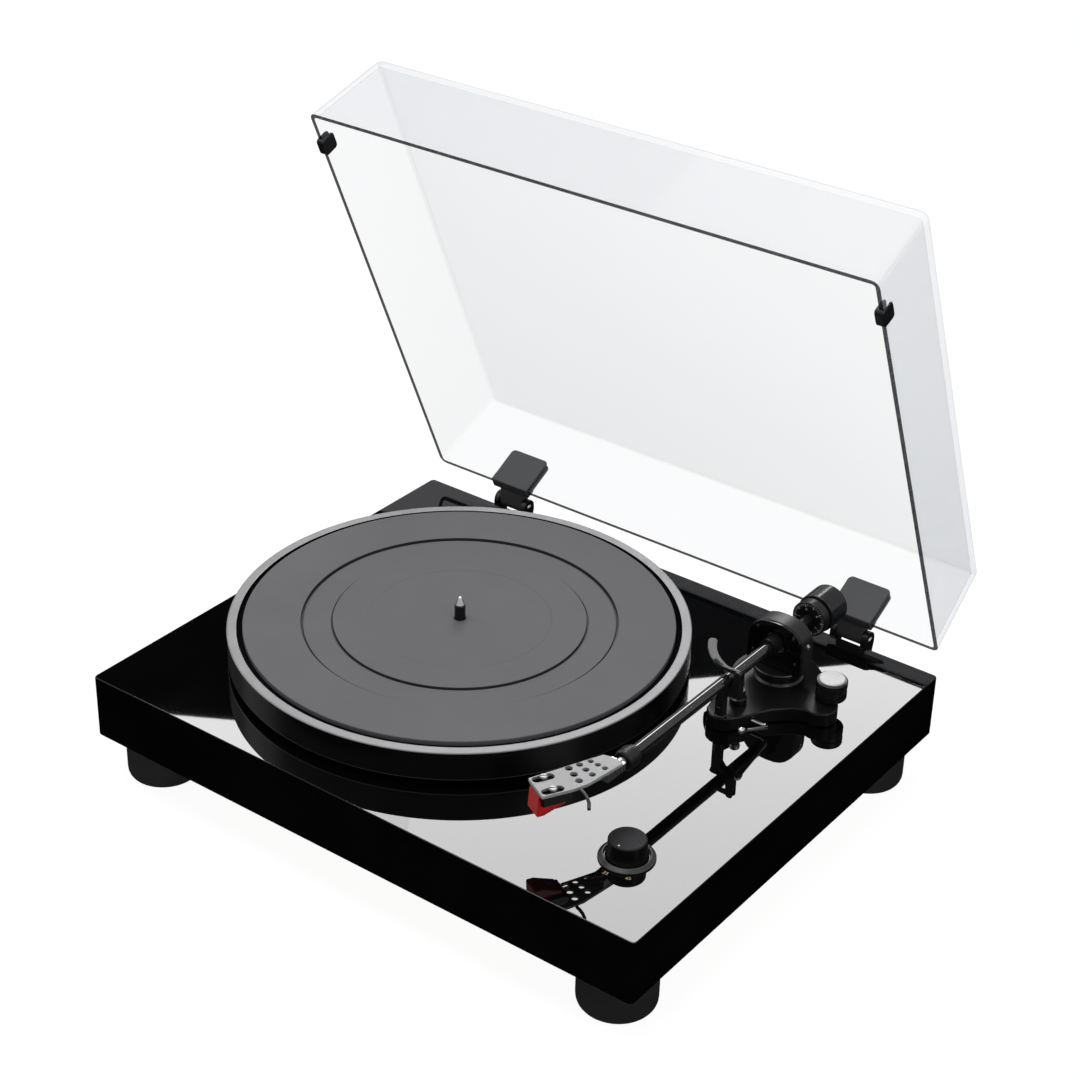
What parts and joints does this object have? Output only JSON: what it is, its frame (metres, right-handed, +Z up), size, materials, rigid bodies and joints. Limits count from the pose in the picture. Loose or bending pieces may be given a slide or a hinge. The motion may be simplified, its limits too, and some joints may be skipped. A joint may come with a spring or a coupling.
{
  "type": "turntable record player",
  "caption": "Low black record player with a round belt-driven platter, a straight tonearm with an angled headshell, a speed knob and a clear hinged lid standing open.",
  "frame": {"origin": "on the table under the middle of the whole outline, lid open: centred left to right and front to back", "axes": "+X to the right, towards the tonearm side; +Y to the back, where the lid hinges are; +Z up"},
  "size_m": [0.42, 0.4008, 0.4124],
  "materials": {
    "bearing_brass": "turned brass",
    "belt_rubber": "ground",
    "bezel_grey": "satin",
    "black_steel": "black satin",
    "black_tube": "gloss black lacquer",
    "board_brown": "raw fibreboard",
    "clear_acrylic": "clear polished acrylic",
    "diamond_grey": "polished",
    "foot_rubber": "matte rubber",
    "gloss_black": "gloss",
    "gold_metal": "gold plated",
    "grey_plastic": "moulded",
    "guard_red": "clear red",
    "hinge_grey": "fine texture",
    "knob_grey": "satin",
    "mat_rubber": "matte",
    "matte_black": "matte",
    "motor_can": "plain",
    "piano_black": "piano gloss lacquer",
    "platter_metal": "turned, side painted black",
    "polished_steel": "polished",
    "red_ring": "moulded",
    "satin_black": "satin",
    "satin_silver": "satin",
    "shell_silver": "blasted",
    "white_ring": "moulded"
  },
  "bodies": {
    "chassis": {"plinth": "piano_black", "bottom_cover": "board_brown", "foot_front_left": "foot_rubber", "foot_front_right": "foot_rubber", "foot_rear_left": "foot_rubber", "foot_rear_right": "foot_rubber", "bearing_housing": "bearing_brass", "drive_belt": "belt_rubber", "motor": "motor_can", "motor_plate": "black_steel", "arm_base": "satin_black", "turret": "satin_black", "lift_cylinder": "satin_black", "arm_rest": "matte_black", "speed_bezel": "bezel_grey", "speed_switch": "grey_plastic", "rear_panel": "matte_black", "signal_socket_left": "white_ring", "signal_socket_right": "red_ring", "ground_post": "gold_metal", "power_socket": "matte_black", "hinge_base_left": "matte_black", "hinge_base_right": "matte_black"},
    "turning_platter": {"spindle": "polished_steel", "sub_platter": "grey_plastic", "platter": "platter_metal", "platter_mat": "mat_rubber"},
    "motor_rotor": {"motor_pulley": "bearing_brass"},
    "arm_pivot": {"pivot_shaft": "polished_steel", "gimbal_yoke": "satin_black", "gimbal_cover": "gloss_black", "pivot_screw_left": "satin_silver", "pivot_screw_right": "satin_silver"},
    "tonearm": {"gimbal_barrel": "gloss_black", "arm_tube": "black_tube", "counterweight_shaft": "black_steel", "headshell_neck": "satin_silver", "headshell_plate": "shell_silver", "finger_lift": "satin_silver", "cartridge_body": "gloss_black", "stylus_guard": "guard_red", "stylus": "diamond_grey", "cartridge_screw_left": "polished_steel", "cartridge_screw_right": "polished_steel"},
    "tail_weight": {"counterweight": "satin_black"},
    "force_dial": {"balance_dial": "satin_black"},
    "head_lock": {"locking_collar": "matte_black"},
    "cue_lift": {"lift_piston": "polished_steel", "lift_bar": "satin_black"},
    "cue_handle": {"cue_lever": "polished_steel"},
    "rest_clip": {"arm_clip": "matte_black"},
    "anti_skate": {"anti_skate_knob": "satin_black", "anti_skate_cap": "satin_silver"},
    "speed_control": {"speed_knob": "knob_grey"},
    "dust_lid": {"lid": "clear_acrylic", "lid_bumper_left": "matte_black", "lid_bumper_right": "matte_black", "hinge_pocket_left": "hinge_grey", "hinge_pocket_right": "hinge_grey"}
  },
  "joints": [
    {"name": "platter_spin", "type": "hinge", "parent": "chassis", "child": "turning_platter", "pos_m": [-0.0476, -0.03148, 0.075], "axis": [0, 0, 1], "continuous": true},
    {"name": "motor_spin", "type": "hinge", "parent": "chassis", "child": "motor_rotor", "pos_m": [-0.12185, 0.04277, 0.075], "axis": [0, 0, 1], "continuous": true},
    {"name": "tonearm_swing", "type": "hinge", "parent": "chassis", "child": "arm_pivot", "pos_m": [0.1358, 0.06302, 0.075], "axis": [0, 0, -1], "range_deg": [0, 44.5]},
    {"name": "tonearm_lift", "type": "hinge", "parent": "arm_pivot", "child": "tonearm", "pos_m": [0.1358, 0.06302, 0.1128], "axis": [-1, 0, 0], "range_deg": [0, 1.3]},
    {"name": "counterweight_turn", "type": "hinge", "parent": "tonearm", "child": "tail_weight", "pos_m": [0.1358, 0.11322, 0.11], "axis": [0, 1, 0], "range_deg": [-180, 180]},
    {"name": "force_dial_turn", "type": "hinge", "parent": "tail_weight", "child": "force_dial", "pos_m": [0.1358, 0.09922, 0.11], "axis": [0, 1, 0], "continuous": true},
    {"name": "head_lock_turn", "type": "hinge", "parent": "tonearm", "child": "head_lock", "pos_m": [0.1358, -0.10378, 0.1128], "axis": [0, 1, 0], "range_deg": [0, 30]},
    {"name": "cue_lever_turn", "type": "hinge", "parent": "chassis", "child": "cue_handle", "pos_m": [0.146, 0.01522, 0.08], "axis": [-1, 0, 0], "range_deg": [0, 60]},
    {"name": "cue_lift_slide", "type": "slide", "parent": "chassis", "child": "cue_lift", "axis": [0, 0, 1], "range_m": [0, 0.0045]},
    {"name": "rest_clip_turn", "type": "hinge", "parent": "chassis", "child": "rest_clip", "pos_m": [0.1436, 0.00122, 0.1196], "axis": [0, 1, 0], "range_deg": [0, 100]},
    {"name": "anti_skate_turn", "type": "hinge", "parent": "chassis", "child": "anti_skate", "pos_m": [0.1753, 0.06122, 0.085], "axis": [0, 0, 1], "range_deg": [0, 270]},
    {"name": "speed_knob_turn", "type": "hinge", "parent": "chassis", "child": "speed_control", "pos_m": [0.1622, -0.14048, 0.075], "axis": [0, 0, 1], "range_deg": [-40, 40]},
    {"name": "lid_hinge", "type": "hinge", "parent": "chassis", "child": "dust_lid", "pos_m": [0, 0.14752, 0.0758], "axis": [1, 0, 0], "range_deg": [-8, 66.4]}
  ],
  "couplings": [
    {"joint": "motor_spin", "follows": "platter_spin", "ratio": 7.75},
    {"joint": "cue_lift_slide", "follows": "cue_lever_turn", "m_per_rad": 0.00429}
  ]
}
